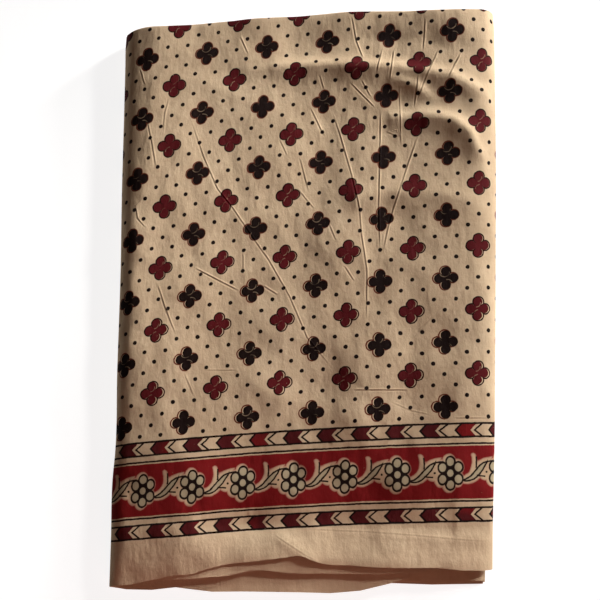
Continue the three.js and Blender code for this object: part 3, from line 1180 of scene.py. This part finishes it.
# Lamps, each so many metres and degrees from its aim. Azimuth 0 stands on the +X side, 90 on +Y.
DAYLIGHT = (1.0, 0.98, 0.95)
AREA_LIGHTS = table(
    "name aim azimuth elevation distance size power colour",
    ("key", (0, 0, 0.02), 36, 10.5, 6.0, 0.9, 600, DAYLIGHT),
    ("overhead", (0, 0, 0.02), 60, 80, 2.2, 1.6, 0.7, (1.0, 0.66, 0.48)),
    ("warm_fill", (0, -0.30, 0.01), -90, 25, 0.42, 0.24, 1.0, (1.0, 0.42, 0.36)),
)

# Spotlights with a wide soft edge, which brighten the part of the cloth that they are aimed at
POOL_LIGHTS = table(
    "name aim azimuth elevation distance spread power colour",
    ("key_pool", (-0.02, 0.13, 0.02), 36, 11, 6.0, 4.6, 1150, DAYLIGHT),
    ("left_pool", (-0.14, 0.09, 0.02), 36, 22, 2.4, 8.5, 640, DAYLIGHT),
    ("right_pool", (0.17, -0.15, 0.02), 36, 20, 2.4, 7.5, 640, DAYLIGHT),
)
POOL_LAMP_RADIUS = 0.2

# The photograph's view: a 36 mm wide picture from above, leaning a little towards the hems
CAMERA_AIM = (-8.9, -10.3, 19.0)
CAMERA_LEAN = 7.0
CAMERA_DISTANCE = 882.0
CAMERA_LENS = 54.0
CAMERA_WIDTH = 36.0

# The floor and the backdrop far round it, in metres
FLOOR_HALF = 12.0
FLOOR_DROP = 0.0004
BACKDROP_FOOT = -1.0
BACKDROP_HEIGHT = 12.0
BACKDROP_SIDES = 48


def place_lamp(light, row):
    """Stands a light at its place and turns it to its aim."""
    lamp = bpy.data.objects.new(row["name"], light)
    around, up = math.radians(row["azimuth"]), math.radians(row["elevation"])
    level = math.cos(up)
    direction = Vector((level * math.cos(around), level * math.sin(around), math.sin(up)))
    lamp.location = Vector(row["aim"]) + direction * row["distance"]
    lamp.rotation_euler = direction.to_track_quat("Z", "Y").to_euler()
    lamp.visible_camera = False
    bpy.context.scene.collection.objects.link(lamp)


def add_lamps():
    """Soft studio light."""
    for row in AREA_LIGHTS:
        light = bpy.data.lights.new(row["name"], "AREA")
        light.energy = row["power"]
        light.size = row["size"]
        light.color = row["colour"]
        place_lamp(light, row)
    for row in POOL_LIGHTS:
        light = bpy.data.lights.new(row["name"], "SPOT")
        light.energy = row["power"]
        light.color = row["colour"]
        light.shadow_soft_size = POOL_LAMP_RADIUS
        light.spot_size = math.radians(row["spread"])
        light.spot_blend = 1.0
        place_lamp(light, row)


def add_camera():
    """The photograph's view."""
    lean = math.radians(CAMERA_LEAN)
    data = bpy.data.cameras.new("camera")
    data.sensor_width = CAMERA_WIDTH
    data.lens = CAMERA_LENS
    camera = bpy.data.objects.new("camera", data)
    away = Vector((0, -math.sin(lean), math.cos(lean))) * CAMERA_DISTANCE
    camera.location = (Vector(CAMERA_AIM) + away) * MM
    camera.rotation_euler = (lean, 0, 0)
    bpy.context.scene.collection.objects.link(camera)
    bpy.context.scene.camera = camera


def add_staging(name, vertices, faces, grey, gloss, glow):
    """A plain piece of the studio, which glows a little so that it stays pale."""
    mesh = bpy.data.meshes.new(name)
    mesh.from_pydata(vertices, [], faces)
    piece = bpy.data.objects.new(name, mesh)
    bpy.context.scene.collection.objects.link(piece)
    material = bpy.data.materials.new("pale_" + name)
    material.use_nodes = True
    shader = material.node_tree.nodes["Principled BSDF"]
    set_inputs(shader, {"Base Color": (grey, grey, grey, 1), "Emission Color": (1, 1, 1, 1)})
    set_inputs(shader, {"Roughness": 0.9, "Specular IOR Level": gloss, "Emission Strength": glow})
    mesh.materials.append(material)
    return piece


def add_floor():
    """A plain pale floor just under the cloth."""
    half = FLOOR_HALF
    corners = [(-half, -half, 0), (half, -half, 0), (half, half, 0), (-half, half, 0)]
    floor = add_staging("floor", corners, [(0, 1, 2, 3)], grey=0.30, gloss=0.5, glow=0.86)
    floor.location.z = -FLOOR_DROP


def add_backdrop():
    """A pale backdrop far round the floor, which only the camera sees, so it lights nothing."""
    sides = BACKDROP_SIDES
    turns = [2 * math.pi * k / sides for k in range(sides)]
    ring = [(FLOOR_HALF * math.cos(turn), FLOOR_HALF * math.sin(turn)) for turn in turns]
    vertices = [(x, y, z) for z in (BACKDROP_FOOT, BACKDROP_HEIGHT) for x, y in ring]
    faces = [(k, sides + k, sides + (k + 1) % sides, (k + 1) % sides) for k in range(sides)]
    backdrop = add_staging("backdrop", vertices, faces, grey=0.0, gloss=0.0, glow=0.90)
    backdrop.visible_diffuse = False
    backdrop.visible_glossy = False
    backdrop.visible_transmission = False
    backdrop.visible_shadow = False


def add_world():
    """Faint warm light from all round, and colours shown just as they are lit."""
    scene = bpy.context.scene
    world = bpy.data.worlds.new("studio")
    world.use_nodes = True
    glow = {"Color": (1.0, 0.62, 0.44, 1), "Strength": 0.04}
    set_inputs(world.node_tree.nodes["Background"], glow)
    scene.world = world
    scene.view_settings.view_transform = "Standard"
    scene.view_settings.look = "None"


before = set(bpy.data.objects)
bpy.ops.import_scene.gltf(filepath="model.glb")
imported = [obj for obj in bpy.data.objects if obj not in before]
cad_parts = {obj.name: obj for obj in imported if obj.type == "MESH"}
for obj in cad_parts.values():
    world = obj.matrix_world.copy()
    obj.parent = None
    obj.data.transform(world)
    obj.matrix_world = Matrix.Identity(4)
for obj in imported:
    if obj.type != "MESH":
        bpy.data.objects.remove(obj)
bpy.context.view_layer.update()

add_camera()
add_floor()
add_backdrop()
add_world()
add_lamps()

cloth = make_cloth()
cloth.data.materials.append(cotton_material("printed_face", ink=1.0))
cloth.data.materials.append(cotton_material("wrong_side", ink=0.4))
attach(cloth, "root")
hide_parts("cloth")
